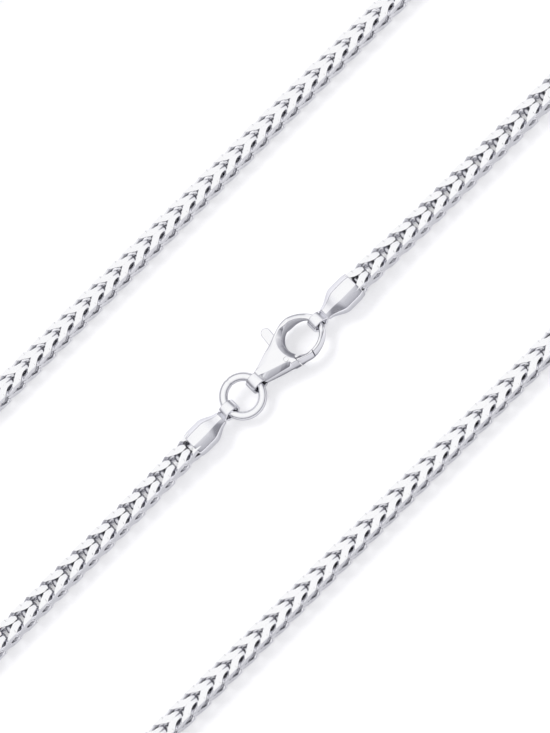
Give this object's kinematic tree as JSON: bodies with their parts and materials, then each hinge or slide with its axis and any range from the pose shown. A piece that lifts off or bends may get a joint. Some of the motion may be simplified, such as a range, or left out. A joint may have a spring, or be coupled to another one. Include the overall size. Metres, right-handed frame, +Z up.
{
  "type": "franco chain necklace",
  "caption": "Square four-sided franco chain necklace of interlocked folded links, with faceted end caps, a jump ring and a lobster clasp with a hinged gate.",
  "frame": {"origin": "on the surface that the necklace lies on, below the middle of the laid-out loop's box", "axes": "+X along the laid-out rows, the way the chevrons point; +Y from the plain-chevron lower row towards the closing row; +Z up from the surface"},
  "size_m": [0.1435, 0.092, 0.0036],
  "materials": {
    "chain_metal": "diamond-cut bright silver",
    "cap_metal": "polished silver, soft facets",
    "clasp_metal": "high polish silver"
  },
  "bodies": {
    "necklace": {"chain_first_half": "chain_metal", "chain_second_half": "chain_metal", "end_cap_left": "cap_metal", "end_cap_right": "cap_metal", "jump_ring": "clasp_metal", "clasp_body": "clasp_metal", "clasp_pin": "clasp_metal"},
    "lever": {"clasp_lever": "clasp_metal"}
  },
  "joints": [
    {"name": "clasp_lever_hinge", "type": "hinge", "parent": "necklace", "child": "lever", "pos_m": [-0.00501, -0.0221, 0.0018], "axis": [0, 0, 1], "range_deg": [0, 22], "stiffness_Nm_per_rad": 0.01, "springref_deg": -17.19}
  ]
}
